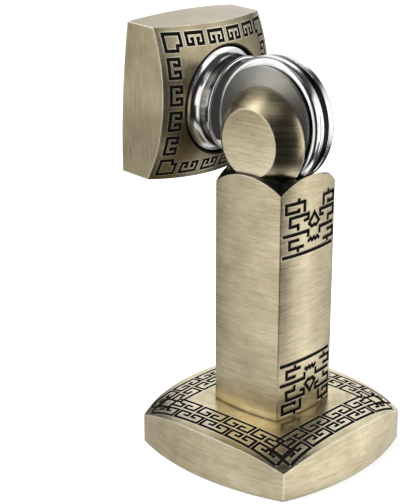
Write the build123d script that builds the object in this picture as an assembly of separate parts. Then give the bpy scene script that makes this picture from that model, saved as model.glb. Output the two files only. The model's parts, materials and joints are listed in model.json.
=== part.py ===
"""Magnetic door stop: a floor post with a magnet head, and the door unit whose striker bell meets it.

Millimetres, +Z up. The origin is the middle of the base's underside, on the floor.
The head's axis is parallel to Y, with the dome's flat towards -Y and the magnet towards +Y.
The door unit stands at -X, with its bell facing +X and its face leaning a few degrees down.
"""
from build123d import *
import os
from math import cos, radians, sin, sqrt

os.makedirs("parts", exist_ok=True)

# Fits and running clearances
slip_fit = 0.05
running_fit = 0.06
air_gap = 0.3
cutter_margin = 2.0

# Base: a square shell with bowed sides, crowned on top
base_half = 25.0
base_foot_bow = 4.8
base_top_bow = 2.9
base_corner_height = 8.0
base_side_height = 11.5
base_crown_height = 12.7
base_crown_power = 6.0
base_wall = 2.4
base_web_floor = 7.2
base_seat_height = 10.4
base_boss_margin = 2.4
base_rib_width = 1.8
base_rib_reach = 24.0

# Floor plate, screwed to the floor under the base, and the grub screw that locks the base to it
floor_plate_radius = 19.0
floor_plate_thickness = 2.2
floor_collar_wall = 2.6
floor_collar_height = 6.4
floor_groove_depth = 0.8
floor_hole_circle = 11.5
floor_hole_radius = 2.2
floor_hole_count = 3
floor_bore_radius = 4.0
countersink_radius = 4.2
grub_radius = 2.0
grub_height = 4.2
grub_boss_radius = 4.0
grub_socket_radius = 1.1
grub_socket_depth = 2.5
grub_tip_radius = 0.15

# Column: a bowed square bar with a turned top, scooped for the magnet cup
column_half = 11.0
column_bow = 1.1
column_top = 78.6
column_top_radius = 12.1
column_shoulder_radius = 13.95
column_shoulder_height = 76.8
column_corner_height = 74.7
column_bolt_hole_depth = 20.0

# Column bolt and its washers, below the base's web
bolt_radius = 4.0
bolt_reach = 14.0
bolt_head_radius = 6.5
bolt_head_height = 2.8
bolt_socket_radius = 2.9
washer_radius = 8.0
washer_thickness = 1.0
spring_washer_radius = 6.6
spring_washer_thickness = 1.0

# Head: the dome, whose ball centre lies below the axis of the magnet stack
dome_radius = 15.5
dome_centre_y = 1.65
dome_centre_height = 86.6
dome_flat_y = -11.05
stack_height = 90.9
back_disc_y = -5.4
back_disc_thickness = 1.4
back_disc_radius = 14.7
back_disc_bevel = 0.35
spigot_radius = 7.0
rivet_radius = 5.0
rivet_length = 1.5
spring_pocket_radius = 4.2
spring_pocket_depth = 3.0
screw_thread_depth = 4.4

# Stud that holds the head on the column
stud_radius = 2.0
stud_y = -8.3
stud_bottom = 66.0
stud_top = 85.2
stud_groove_height = 71.0
stud_groove_depth = 0.6

# Magnet cup, front ring, pole cup and magnet
cup_radius = 16.9
cup_wall = 1.5
cup_back = 1.5
cup_rim_stand = 0.4
cup_round = 1.5
cup_front_y = -0.35
cup_groove_width = 0.55
cup_groove_depth = 0.6
magnet_travel = 0.6
ring_gap = 0.7
ring_radius = 16.75
ring_width = 2.55
ring_front_round = 1.0
ring_back_round = 0.35
pole_radius = 12.1
pole_wall = 1.0
pole_back_y = -1.7
pole_front_inset = 0.35
magnet_bore_radius = 4.1
rubber_ring_wall = 2.0
shoulder_radius = 2.6
shoulder_head_radius = 3.6
shoulder_head_height = 2.2
head_spring_radius = 3.45
head_spring_wire = 0.6
head_spring_turns = 3

# Door unit: where its back stands, and how its face leans
door_reach = 24.15
door_back_centre = (-cup_radius - door_reach, 6.3, 93.0)
door_lean_degrees = 4.1

# Door plate: a square crowned shell with a well for the striker bell
plate_half = 20.7
plate_back_bow = 0.9
plate_corner_height = 9.6
plate_crown_radius = 47.0
plate_wall = 2.2
well_radius = 14.85
well_floor = 12.0
well_web = 2.0
plate_rest = 1.2

# Door bracket
bracket_half = 16.5
bracket_thickness = 2.0
bracket_corner = 3.0
bracket_hole_offset = 10.5
bracket_hole_radius = 2.2
bracket_bore_radius = 6.5
bracket_lug_width = 12.0
bracket_lug_height = 7.6
door_grub_height = 4.8
door_grub_boss_radius = 3.6

# Striker: the bell, its steel face, its bolt, nut and washer, the bush that guides them and the spring
striker_travel = 1.5
bell_clearance = 0.6
bell_flange_radius = well_radius - bell_clearance
bell_flange_back = 14.6
bell_flange_front = 16.7
bell_waist_radius = bell_flange_radius - 2.35
bell_waist_height = 19.9
bell_rim_radius = bell_flange_radius - 1.15
bell_rim_height = 23.85
bell_rim_wall = 0.8
bell_face_height = 19.1
bell_face_thickness = 1.2
bell_hollow_radius = bell_waist_radius - 0.7
bell_hollow_top = 16.7
striker_bolt_radius = 3.0
striker_bolt_head = 4.6
striker_bolt_end = 5.2
striker_nut_radius = 5.2
striker_nut_height = 2.6
striker_washer_radius = 6.0
striker_washer_thickness = 0.9
bush_radius = 5.0
bush_flange_radius = 7.4
bush_flange_height = 0.7
striker_spring_radius = 5.6
striker_spring_wire = 0.8
striker_spring_turns = 2.5
cushion_inner_radius = bush_flange_radius + 2.2
cushion_outer_radius = well_radius - 1.25
cushion_height = 0.7


def save(shape, node):
    """Write one piece to its own file."""
    export_step(shape, f"parts/{node}.step")


def bowed_square(half, bow):
    """A square outline whose sides are arcs, each standing out by bow at its middle."""
    reach = half + bow
    corners = [(-half, -half), (half, -half), (half, half), (-half, half)]
    middles = [(0, -reach), (reach, 0), (0, reach), (-reach, 0)]
    edges = []
    for index, (start, middle) in enumerate(zip(corners, middles)):
        end = corners[(index + 1) % len(corners)]
        edges.append(ThreePointArc(start, middle, end))
    return make_face(edges)


def bowed_block(half, foot_bow, top_bow, top_at, height):
    """A block whose bow changes evenly with height, from the foot to what it is at top_at."""
    bow_at_height = foot_bow + (top_bow - foot_bow) * height / top_at
    foot = bowed_square(half, foot_bow)
    top = Pos(0, 0, height) * bowed_square(half, bow_at_height)
    return loft([foot, top])


def tube(outer, inner, low, high):
    """A ring about Z between two heights."""
    ring = Pos(0, 0, low) * extrude(Circle(outer), high - low)
    return ring - Pos(0, 0, low - cutter_margin) * extrude(Circle(inner), high - low + 2 * cutter_margin)


def rod(radius, low, high):
    """A round bar about Z between two heights."""
    return Pos(0, 0, low) * extrude(Circle(radius), high - low)


def turned(points):
    """A solid turned about Z from a closed outline of (radius, height) points."""
    outline = Polyline([(radius, 0, height) for radius, height in points], close=True)
    return revolve(make_face(outline), Axis.Z)


def hexagon_bar(radius, low, high):
    """A six-sided bar about Z, measured over its corners."""
    return Pos(0, 0, low) * extrude(RegularPolygon(radius, 6), high - low)


def coil(mean_radius, wire, low, high, turns):
    """A compression spring about Z, standing between two heights. Its wire has six flats."""
    rise = high - low - wire
    path = Helix(pitch=rise / turns, height=rise, radius=mean_radius)
    section = Plane(origin=path @ 0, z_dir=path % 0) * RegularPolygon(wire / 2, 6)
    return Pos(0, 0, low + wire / 2) * sweep(section, path=path)


def countersunk_hole(x, y, hole_radius, thickness):
    """What a drill and a countersink take away from a sheet that lies on Z = 0."""
    drill = rod(hole_radius, -cutter_margin, thickness + cutter_margin)
    sink_depth = min(countersink_radius - hole_radius, thickness * 0.65)
    sink = Pos(0, 0, thickness - sink_depth / 2) * Cone(hole_radius, hole_radius + sink_depth, sink_depth)
    return Pos(x, y, 0) * (drill + sink)


def grub_screw(length):
    """A grub screw along Z, with its cone point at Z = 0 and its socket at the far end."""
    cone_height = grub_radius - grub_tip_radius
    body = rod(grub_radius, cone_height, length) + Pos(0, 0, cone_height / 2) * Cone(
        grub_tip_radius, grub_radius, cone_height)
    return body - hexagon_bar(grub_socket_radius, length - grub_socket_depth, length + cutter_margin)


# Base and floor plate

def base_crown(lowered=0.0):
    """The solid under the base's crowned top, which falls away towards the corners."""
    corner_radius = base_half * sqrt(2)
    drop = base_crown_height - base_corner_height
    steps = 9
    edge_radius = corner_radius * 1.03
    profile = []
    for step in range(steps + 1):
        radius = edge_radius * step / steps
        height = base_crown_height - drop * (radius / corner_radius) ** base_crown_power - lowered
        profile.append((radius, 0, height))
    top = Spline(profile, tangents=[(1, 0, 0), (1, 0, -drop * base_crown_power / corner_radius)])
    end = profile[-1]
    sides = Polyline([end, (edge_radius, 0, -cutter_margin), (0, 0, -cutter_margin), profile[0]])
    return revolve(make_face([top] + list(sides.edges())), Axis.Z)


def make_base_shell():
    """The cast shell: bowed leaning sides, crowned top, a pocket for the column and ribs below."""
    tall = base_crown_height + cutter_margin
    outside = bowed_block(base_half, base_foot_bow, base_top_bow, base_side_height, tall) & base_crown()
    inner_half = base_half - base_wall
    hollow = bowed_block(inner_half, base_foot_bow, base_top_bow, base_side_height, tall)
    hollow = hollow & base_crown(base_wall)
    boss = Pos(0, 0, base_web_floor) * extrude(
        bowed_square(column_half + base_boss_margin, column_bow), base_crown_height)
    ribs = Pos(0, 0, base_web_floor + base_crown_height / 2) * (
        Rot(0, 0, 45) * Box(2 * base_rib_reach * sqrt(2), base_rib_width, base_crown_height)
        + Rot(0, 0, -45) * Box(2 * base_rib_reach * sqrt(2), base_rib_width, base_crown_height))
    hollow = hollow - boss - ribs
    shell = outside - hollow
    wall_inside = base_half + base_foot_bow - base_wall
    boss_start = floor_plate_radius + air_gap
    grub_boss = rod(grub_boss_radius, boss_start, wall_inside)
    shell = shell + Pos(0, 0, grub_height) * Rot(-90, 0, 0) * grub_boss
    pocket = Pos(0, 0, base_seat_height) * extrude(
        bowed_square(column_half + slip_fit, column_bow), base_crown_height)
    shell = shell - pocket - rod(bolt_radius + air_gap, 0, base_crown_height)
    grub_hole = rod(grub_radius + slip_fit, boss_start - cutter_margin, base_half + base_foot_bow + cutter_margin)
    return shell - Pos(0, 0, grub_height) * Rot(-90, 0, 0) * grub_hole


def make_floor_plate():
    """The turned steel plate that is screwed to the floor; its collar has a groove for the grub screw."""
    inner = floor_plate_radius - floor_collar_wall
    groove_low = grub_height - floor_groove_depth
    groove_high = grub_height + floor_groove_depth
    plate = turned([
        (floor_bore_radius, 0), (floor_plate_radius, 0), (floor_plate_radius, groove_low),
        (floor_plate_radius - floor_groove_depth, grub_height), (floor_plate_radius, groove_high),
        (floor_plate_radius, floor_collar_height), (inner, floor_collar_height),
        (inner, floor_plate_thickness), (floor_bore_radius, floor_plate_thickness)])
    for turn in range(floor_hole_count):
        angle = 360 / floor_hole_count * turn
        plate = plate - Rot(0, 0, angle) * countersunk_hole(
            floor_hole_circle, 0, floor_hole_radius, floor_plate_thickness)
    return plate


def make_base_grub_screw():
    """The grub screw in the base's back wall; its point sits in the floor plate's groove."""
    point = floor_plate_radius - floor_groove_depth + grub_tip_radius + slip_fit
    length = base_half - point
    screw = grub_screw(length)
    return Pos(0, point, grub_height) * Rot(-90, 0, 0) * screw


# Column and what holds it

def along_y(shape, height=0.0):
    """Turn a shape made about Z so that its Z runs along +Y, on an axis at the given height."""
    return Pos(0, 0, height) * Rot(-90, 0, 0) * shape


def make_column():
    """The bowed square column, its turned top, the scoop for the magnet cup and its screw holes."""
    blank = Pos(0, 0, base_seat_height) * extrude(bowed_square(column_half, column_bow), column_top)
    outer = column_half * sqrt(2) + 1.0
    shoulder = ThreePointArc(
        (column_top_radius, 0, column_top), (column_shoulder_radius, 0, column_shoulder_height),
        (column_half * sqrt(2) + 0.1, 0, column_corner_height))
    start = shoulder @ 1
    sides = Polyline([
        start, (outer, 0, column_corner_height - 1.0), (outer, 0, 0), (0, 0, 0),
        (0, 0, column_top), (column_top_radius, 0, column_top)])
    turned_top = revolve(make_face([shoulder] + list(sides.edges())), Axis.Z)
    column = blank & turned_top
    scoop_start = back_disc_y - slip_fit
    scoop = rod(cup_radius + air_gap, scoop_start, column_half * 2)
    column = column - along_y(scoop, stack_height)
    column = column - rod(bolt_radius, base_seat_height, base_seat_height + column_bolt_hole_depth)
    stud_hole = Pos(0, stud_y, 0) * rod(stud_radius + slip_fit, stud_bottom, column_top + cutter_margin)
    grub_hole = rod(grub_radius + slip_fit, 0, column_half + 2 * column_bow)
    return column - stud_hole - Pos(0, stud_y, stud_groove_height) * Rot(0, -90, 0) * grub_hole


def make_column_bolt():
    """The socket bolt that pulls the column down into the base's pocket."""
    seat = base_web_floor - washer_thickness - spring_washer_thickness
    head = rod(bolt_head_radius, seat - bolt_head_height, seat)
    bolt = head + rod(bolt_radius, seat, base_seat_height + bolt_reach)
    return bolt - hexagon_bar(bolt_socket_radius, seat - bolt_head_height - cutter_margin, seat - 0.8)


def make_column_washer():
    """The flat washer under the base's web."""
    return tube(washer_radius, bolt_radius + slip_fit, base_web_floor - washer_thickness, base_web_floor)


def make_column_spring_washer():
    """The split spring washer between the flat washer and the bolt's head."""
    top = base_web_floor - washer_thickness
    ring = tube(spring_washer_radius, bolt_radius + slip_fit, top - spring_washer_thickness, top)
    slit = Pos(spring_washer_radius, 0, top) * Rot(25, 0, 0) * Box(
        spring_washer_radius * 2, 0.6, spring_washer_thickness * 4)
    return ring - slit


def make_head_stud():
    """The stud under the dome, with a groove that the head's grub screw bites on."""
    stud = rod(stud_radius, stud_bottom + 0.5, stud_top)
    groove = turned([
        (stud_radius, stud_groove_height - stud_groove_depth),
        (stud_radius - stud_groove_depth, stud_groove_height),
        (stud_radius, stud_groove_height + stud_groove_depth),
        (stud_radius + 1, stud_groove_height)])
    return Pos(0, stud_y, 0) * (stud - groove)


def make_head_grub_screw():
    """The grub screw in the column's side that faces the door unit."""
    point = stud_radius - stud_groove_depth + grub_tip_radius + slip_fit
    screw = Pos(0, 0, point) * grub_screw(column_half - point)
    return Pos(0, stud_y, stud_groove_height) * Rot(0, -90, 0) * screw


# Head

def make_head_ball():
    """The dome with its round flat, the spigot for the magnet stack and the holes of stud and screw."""
    ball = Pos(0, dome_centre_y, dome_centre_height) * Sphere(dome_radius)
    keep_height = 4 * dome_radius
    keep = Pos(0, (dome_flat_y + back_disc_y) / 2, column_top + keep_height / 2) * Box(
        keep_height, back_disc_y - dome_flat_y, keep_height)
    dome = ball & keep
    disc_front = back_disc_y + back_disc_thickness
    rivet_end = disc_front + rivet_length
    neck = rod(spigot_radius, back_disc_y - 0.5, disc_front) + rod(rivet_radius, disc_front - 0.5, rivet_end)
    dome = dome + along_y(neck, stack_height)
    pocket_floor = rivet_end - spring_pocket_depth
    pocket = rod(spring_pocket_radius, pocket_floor, rivet_end + cutter_margin)
    thread = rod(2.0, pocket_floor - screw_thread_depth, pocket_floor)
    dome = dome - along_y(pocket + thread, stack_height)
    return dome - Pos(0, stud_y, 0) * rod(stud_radius, column_top - cutter_margin, stud_top)


def make_back_disc():
    """The satin disc behind the dome, with a bevelled edge towards the dome."""
    back = back_disc_y + back_disc_thickness
    inner = spigot_radius + slip_fit
    disc = turned([
        (inner, back_disc_y), (back_disc_radius - back_disc_bevel, back_disc_y),
        (back_disc_radius, back_disc_y + back_disc_bevel), (back_disc_radius, back), (inner, back)])
    return along_y(disc, stack_height)


def make_magnet_cup():
    """The polished cup: a rounded back edge round the satin disc, and a plain wall to the front ring."""
    back = back_disc_y + back_disc_thickness
    edge = back - cup_rim_stand
    floor = back + cup_back
    groove_inner = back_disc_radius + slip_fit
    groove_outer = groove_inner + cup_groove_width
    corner = cup_radius - cup_round
    bend = cup_round * (1 - cos(radians(45)))
    rounding = ThreePointArc(
        (corner, 0, edge), (cup_radius - bend, 0, edge + bend), (cup_radius, 0, edge + cup_round))
    outline = Polyline([(radius, 0, height) for radius, height in [
        (cup_radius, edge + cup_round), (cup_radius, cup_front_y), (cup_radius - cup_wall, cup_front_y),
        (cup_radius - cup_wall, floor), (rivet_radius + slip_fit, floor), (rivet_radius + slip_fit, back),
        (groove_inner, back), (groove_inner, back + cup_groove_depth),
        (groove_outer, back + cup_groove_depth), (groove_outer, edge), (corner, edge)]])
    cup = revolve(make_face([rounding] + list(outline.edges())), Axis.Z)
    return along_y(cup, stack_height)


def make_rubber_ring():
    """The black buffer ring inside the cup's mouth."""
    outer = cup_radius - cup_wall - slip_fit
    floor = back_disc_y + back_disc_thickness + cup_back
    return along_y(tube(outer, outer - rubber_ring_wall, floor, cup_front_y), stack_height)


def make_front_ring():
    """The polished ring in front of the gap, rounded more at its front than at its back."""
    back = cup_front_y + ring_gap
    ring = tube(ring_radius, pole_radius + slip_fit, back, back + ring_width)
    outer_edges = ring.edges().filter_by(GeomType.CIRCLE).sort_by(SortBy.RADIUS)[-2:].sort_by(Axis.Z)
    ring = fillet(outer_edges[-1], ring_front_round)
    outer_edges = ring.edges().filter_by(GeomType.CIRCLE).sort_by(SortBy.RADIUS)[-2:].sort_by(Axis.Z)
    ring = fillet(outer_edges[0], ring_back_round)
    return along_y(ring, stack_height)


def pole_front():
    """How far forward the pole cup and the magnet stand."""
    return cup_front_y + ring_gap + ring_width - pole_front_inset


def make_pole_cup():
    """The steel cup that holds the magnet and slides on the shoulder screw."""
    bore = shoulder_radius + running_fit
    floor = pole_back_y + pole_wall
    inner = pole_radius - pole_wall
    cup = turned([
        (bore, pole_back_y), (pole_radius, pole_back_y), (pole_radius, pole_front()),
        (inner, pole_front()), (inner, floor), (bore, floor)])
    return along_y(cup, stack_height)


def make_magnet():
    """The ring magnet."""
    outer = pole_radius - pole_wall - slip_fit
    return along_y(tube(outer, magnet_bore_radius, pole_back_y + pole_wall, pole_front()), stack_height)


def make_shoulder_screw():
    """The screw that the magnet slides on; its head stops the pole cup."""
    pocket_floor = back_disc_y + back_disc_thickness + rivet_length - spring_pocket_depth
    head_seat = pole_back_y + pole_wall
    head_front = head_seat + shoulder_head_height
    screw = rod(shoulder_head_radius, head_seat, head_front) + rod(shoulder_radius, pocket_floor, head_seat)
    screw = screw + rod(2.0, pocket_floor - screw_thread_depth + air_gap, pocket_floor)
    return along_y(screw - hexagon_bar(1.8, head_front - 1.2, head_front + cutter_margin), stack_height)


def make_buffer_spring():
    """The spring behind the pole cup; it stands clear of the cup's full travel."""
    pocket_floor = back_disc_y + back_disc_thickness + rivet_length - spring_pocket_depth
    end = pole_back_y - magnet_travel - slip_fit
    spring = coil(head_spring_radius, head_spring_wire, pocket_floor, end, head_spring_turns)
    return along_y(spring, stack_height)


# Door unit, made with Z out of the door and then set in its place

def door_place():
    """The plane of the door unit's back: Z out of the door, Y up the door."""
    lean = radians(door_lean_degrees)
    return Plane(origin=door_back_centre, x_dir=(0, 1, 0), z_dir=(cos(lean), 0, -sin(lean)))


def on_door(shape):
    """Set a piece of the door unit in its place."""
    return door_place().location * shape


def plate_crown(lowered=0.0):
    """The ball whose cap is the door plate's face."""
    corner_radius = plate_half * sqrt(2)
    centre = plate_corner_height - sqrt(plate_crown_radius ** 2 - corner_radius ** 2)
    return Pos(0, 0, centre) * Sphere(plate_crown_radius - lowered)


def make_door_plate():
    """The crowned square plate: hollow behind, with a walled well for the bell."""
    tall = plate_crown_radius / 2
    outside = bowed_block(plate_half, plate_back_bow, plate_back_bow / 4, tall, tall) & plate_crown()
    hollow = bowed_block(plate_half - plate_wall, plate_back_bow, plate_back_bow / 4, tall, tall)
    hollow = hollow & plate_crown(plate_wall)
    web_low = well_floor - well_web
    hollow = hollow - rod(well_radius + plate_wall, web_low, tall)
    boss_start = bracket_half + air_gap
    grub_boss = rod(door_grub_boss_radius, boss_start, plate_half - plate_wall / 2)
    grub_hole = rod(grub_radius + slip_fit, boss_start - cutter_margin, plate_half + cutter_margin)
    plate = outside - hollow - rod(well_radius, well_floor, tall) - rod(bush_radius + slip_fit, 0, tall)
    plate = plate + Pos(0, 0, door_grub_height) * Rot(90, 0, 0) * grub_boss
    return on_door(plate - Pos(0, 0, door_grub_height) * Rot(90, 0, 0) * grub_hole)


def make_door_bracket():
    """The pressed steel bracket that is screwed to the door, with two lugs for the plate."""
    sheet = extrude(RectangleRounded(2 * bracket_half, 2 * bracket_half, bracket_corner), bracket_thickness)
    sheet = sheet - rod(bracket_bore_radius, -cutter_margin, bracket_thickness + cutter_margin)
    lug_middle = bracket_half - bracket_thickness / 2
    for side in (-1, 1):
        sheet = sheet - countersunk_hole(
            side * bracket_hole_offset, 0, bracket_hole_radius, bracket_thickness)
        sheet = sheet + Pos(0, side * lug_middle, bracket_lug_height / 2) * Box(
            bracket_lug_width, bracket_thickness, bracket_lug_height)
    return on_door(sheet)


def make_door_grub_screw():
    """The grub screw in the plate's lower side; its point presses on the bracket's lug."""
    point = bracket_half + slip_fit
    screw = Pos(0, 0, point) * grub_screw(plate_half - point)
    return on_door(Pos(0, 0, door_grub_height) * Rot(90, 0, 0) * screw)


def make_guide_bush():
    """The flanged bush in the plate's web, which the striker's bolt runs in."""
    bore = striker_bolt_radius + running_fit
    bush = tube(bush_radius, bore, well_floor - well_web, well_floor)
    return on_door(bush + tube(bush_flange_radius, bore, well_floor, well_floor + bush_flange_height))


def make_striker_spring():
    """The spring that stands on the bush and pushes the bell out."""
    low = well_floor + bush_flange_height
    high = bell_hollow_top - striker_travel - slip_fit
    return on_door(coil(striker_spring_radius, striker_spring_wire, low, high, striker_spring_turns))


def make_cushion_ring():
    """The rubber ring on the well's floor, which the bell would land on."""
    return on_door(tube(
        cushion_outer_radius, cushion_inner_radius, well_floor, well_floor + cushion_height))


def make_striker_bell():
    """The polished bell: a flange in the well, a waist, and a lip round the steel face."""
    bore = striker_bolt_radius + slip_fit
    seat = bell_face_height - bell_face_thickness
    lip_inner = bell_rim_radius - bell_rim_wall
    lip_low = bell_rim_height - bell_rim_wall / 2
    flare = Spline(
        [(bell_flange_radius, 0, bell_flange_front), (bell_waist_radius, 0, bell_waist_height),
         (bell_rim_radius, 0, lip_low)],
        tangents=[(-1, 0, 0.2), (0.35, 0, 1)])
    lip = ThreePointArc(
        (bell_rim_radius, 0, lip_low), (bell_rim_radius - bell_rim_wall / 2, 0, bell_rim_height),
        (lip_inner, 0, lip_low))
    outline = Polyline([(radius, 0, height) for radius, height in [
        (lip_inner, lip_low), (lip_inner, bell_face_height + 0.8), (bell_waist_radius - 0.9, bell_face_height),
        (bell_waist_radius - 0.9, seat), (bore, seat), (bore, bell_hollow_top),
        (bell_hollow_radius, bell_hollow_top),
        (bell_hollow_radius, bell_flange_back), (bell_flange_radius, bell_flange_back),
        (bell_flange_radius, bell_flange_front)]])
    return on_door(revolve(make_face([flare, lip] + list(outline.edges())), Axis.Z))


def make_striker_face():
    """The steel disc in the bell, countersunk for the striker's bolt."""
    seat = bell_face_height - bell_face_thickness
    disc = tube(
        bell_waist_radius - 0.9 - slip_fit, striker_bolt_radius + slip_fit, seat, bell_face_height)
    sink_depth = bell_face_thickness
    sink = Pos(0, 0, bell_face_height - sink_depth / 2) * Cone(
        striker_bolt_radius + slip_fit, striker_bolt_head + slip_fit, sink_depth)
    return on_door(disc - sink)


def make_striker_bolt():
    """The countersunk bolt that holds the steel face to the bell and runs in the bush."""
    bolt = rod(striker_bolt_radius, striker_bolt_end, bell_face_height)
    head = Pos(0, 0, bell_face_height - bell_face_thickness / 2) * Cone(
        striker_bolt_radius, striker_bolt_head, bell_face_thickness)
    bolt = bolt + head
    return on_door(bolt - hexagon_bar(1.6, bell_face_height - 1.6, bell_face_height + cutter_margin))


def make_striker_washer():
    """The washer behind the plate's web, which stops the bell's outward travel."""
    top = well_floor - well_web - slip_fit
    return on_door(tube(
        striker_washer_radius, striker_bolt_radius + slip_fit, top - striker_washer_thickness, top))


def make_striker_nut():
    """The nut on the striker's bolt."""
    top = well_floor - well_web - slip_fit - striker_washer_thickness
    nut = hexagon_bar(striker_nut_radius, top - striker_nut_height, top)
    return on_door(nut - rod(striker_bolt_radius, striker_bolt_end, well_floor))


save(make_base_shell(), "base_shell")
save(make_floor_plate(), "floor_plate")
save(make_base_grub_screw(), "base_grub_screw")
save(make_column(), "column")
save(make_column_bolt(), "column_bolt")
save(make_column_washer(), "column_washer")
save(make_column_spring_washer(), "column_spring_washer")
save(make_head_ball(), "head_ball")
save(make_head_stud(), "head_stud")
save(make_head_grub_screw(), "head_grub_screw")
save(make_back_disc(), "back_disc")
save(make_magnet_cup(), "magnet_cup")
save(make_rubber_ring(), "rubber_ring")
save(make_front_ring(), "front_ring")
save(make_pole_cup(), "pole_cup")
save(make_magnet(), "magnet")
save(make_shoulder_screw(), "shoulder_screw")
save(make_buffer_spring(), "buffer_spring")
save(make_door_plate(), "door_plate")
save(make_door_bracket(), "door_bracket")
save(make_door_grub_screw(), "door_grub_screw")
save(make_guide_bush(), "guide_bush")
save(make_striker_spring(), "striker_spring")
save(make_cushion_ring(), "cushion_ring")
save(make_striker_bell(), "striker_bell")
save(make_striker_face(), "striker_face")
save(make_striker_bolt(), "striker_bolt")
save(make_striker_washer(), "striker_washer")
save(make_striker_nut(), "striker_nut")
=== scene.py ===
# %% [markdown]
# # A magnetic door stop in antique brass and chrome
# The floor unit is a square base, a column and a round magnet head. The door unit is a square
# plate with a flared striker bell. The solids come from the CAD frame. This script gives each
# one its finish, and cuts the engraved fret into the three brass pieces that carry it.

# %% Load the frame
import json
import math

import bpy
from mathutils import Matrix, Vector
from mathutils.bvhtree import BVHTree
from mathutils.interpolate import poly_3d_calc


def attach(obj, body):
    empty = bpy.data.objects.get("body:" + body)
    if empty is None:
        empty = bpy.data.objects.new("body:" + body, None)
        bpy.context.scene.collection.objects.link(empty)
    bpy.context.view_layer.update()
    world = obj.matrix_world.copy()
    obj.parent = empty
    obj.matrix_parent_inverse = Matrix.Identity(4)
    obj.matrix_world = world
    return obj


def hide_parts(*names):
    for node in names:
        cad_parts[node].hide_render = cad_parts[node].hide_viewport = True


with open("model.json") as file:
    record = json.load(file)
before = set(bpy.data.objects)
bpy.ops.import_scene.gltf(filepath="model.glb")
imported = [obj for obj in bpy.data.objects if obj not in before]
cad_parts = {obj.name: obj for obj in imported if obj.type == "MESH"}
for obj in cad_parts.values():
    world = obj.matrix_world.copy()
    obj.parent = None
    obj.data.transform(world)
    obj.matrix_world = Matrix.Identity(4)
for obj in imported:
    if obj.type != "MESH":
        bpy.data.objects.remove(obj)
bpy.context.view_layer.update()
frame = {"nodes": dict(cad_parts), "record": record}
MM = 0.001
scene = bpy.context.scene
scene.view_settings.view_transform = "Standard"
print("solids:", len(frame["nodes"]))

# %% [markdown]
# ## Camera
# A product picture of a small object is taken from close by, so its perspective is strong. The
# place and the focal length below come from a fit to corners of both units. A camera looks along
# its own -Z, so its rotation is built from three directions: right, up and backwards.

# %% Camera
CAMERA_PLACE = Vector((209.32, -253.45, 168.41)) * MM
FOCAL_LENGTH, SENSOR_WIDTH = 93.29, 36
AZIMUTH, ELEVATION, ROLL = math.radians(43.0), math.radians(19.06), math.radians(-0.12)
backwards = Vector((math.sin(AZIMUTH) * math.cos(ELEVATION), -math.cos(AZIMUTH) * math.cos(ELEVATION),
                    math.sin(ELEVATION)))
sideways = Vector((0, 0, 1)).cross(backwards).normalized()
upwards = backwards.cross(sideways)
right = math.cos(ROLL) * sideways + math.sin(ROLL) * upwards
up = -math.sin(ROLL) * sideways + math.cos(ROLL) * upwards

camera_data = bpy.data.cameras.new("camera")
camera_data.sensor_width = SENSOR_WIDTH
camera_data.lens = FOCAL_LENGTH
camera_data.clip_start = 0.01
camera = bpy.data.objects.new("camera", camera_data)
camera.matrix_world = Matrix.Translation(CAMERA_PLACE) @ Matrix((right, up, backwards)).transposed().to_4x4()
scene.collection.objects.link(camera)
scene.camera = camera
print("camera looks from", [round(value, 3) for value in CAMERA_PLACE])

# %% [markdown]
# ## Nodes written as expressions
# Materials and Geometry Nodes are both node trees. A small class wraps one output of a node, and
# overloads the arithmetic signs, so `streaks * 0.3 + 0.2` and `1 - mask` add the Math nodes that
# they name.

# %% One class for node trees
class Wire:
    """One output of a node, which can be used in Python arithmetic."""

    def __init__(self, tree, socket):
        self.tree = tree
        self.socket = socket

    @classmethod
    def node(cls, tree, kind, settings=None, values=None, output=0):
        """Add a node: its settings first, then the value or the wire of each socket."""
        made = tree.nodes.new(kind)
        for name, value in (settings or {}).items():
            if name == "stops":
                ramp = made.color_ramp
                while len(ramp.elements) < len(value):
                    ramp.elements.new(0.5)
                for element, (position, color) in zip(ramp.elements, value):
                    element.position = position
                    element.color = (*color, 1.0)
            else:
                setattr(made, name, value)
        for name, value in (values or {}).items():
            if isinstance(value, list):
                for wire in value:
                    tree.links.new(wire.socket, made.inputs[name])
            elif isinstance(value, Wire):
                tree.links.new(value.socket, made.inputs[name])
            else:
                made.inputs[name].default_value = value
        return cls(tree, made.outputs[output] if made.outputs else None)

    def also(self, output):
        """Another output of the same node."""
        return Wire(self.tree, self.socket.node.outputs[output])

    def vector(self, operation, *others, output=0, **named):
        """A Vector Math node that starts from this wire."""
        return Wire.node(self.tree, "ShaderNodeVectorMath", {"operation": operation},
                         {0: self, **dict(enumerate(others, 1)), **named}, output)

    def maths(self, operation, other=0.0):
        """A Math node that starts from this wire."""
        return Wire.node(self.tree, "ShaderNodeMath", {"operation": operation}, {0: self, 1: other})

    def into(self, shader, name):
        """Join this wire to one of a shader's inputs."""
        self.tree.links.new(self.socket, shader.inputs[name])

    def after(self, operation, other):
        """A Math node that starts from a number and ends with this wire."""
        return Wire.node(self.tree, "ShaderNodeMath", {"operation": operation}, {0: other, 1: self})

    def __add__(self, other):
        return self.maths("ADD", other)

    __radd__ = __add__

    def __sub__(self, other):
        return self.maths("SUBTRACT", other)

    def __rsub__(self, other):
        return self.after("SUBTRACT", other)

    def __mul__(self, other):
        return self.maths("MULTIPLY", other)

    __rmul__ = __mul__

    def __truediv__(self, other):
        return self.maths("DIVIDE", other)

    def __rtruediv__(self, other):
        return self.after("DIVIDE", other)

    def limit(self, low, high):
        """Keep the value between two numbers."""
        return self.maths("MAXIMUM", low).maths("MINIMUM", high)


def empty_tree(owner):
    """The node tree of a material or a world, with nothing in it yet."""
    owner.use_nodes = True
    owner.node_tree.nodes.clear()
    return owner.node_tree


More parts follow.
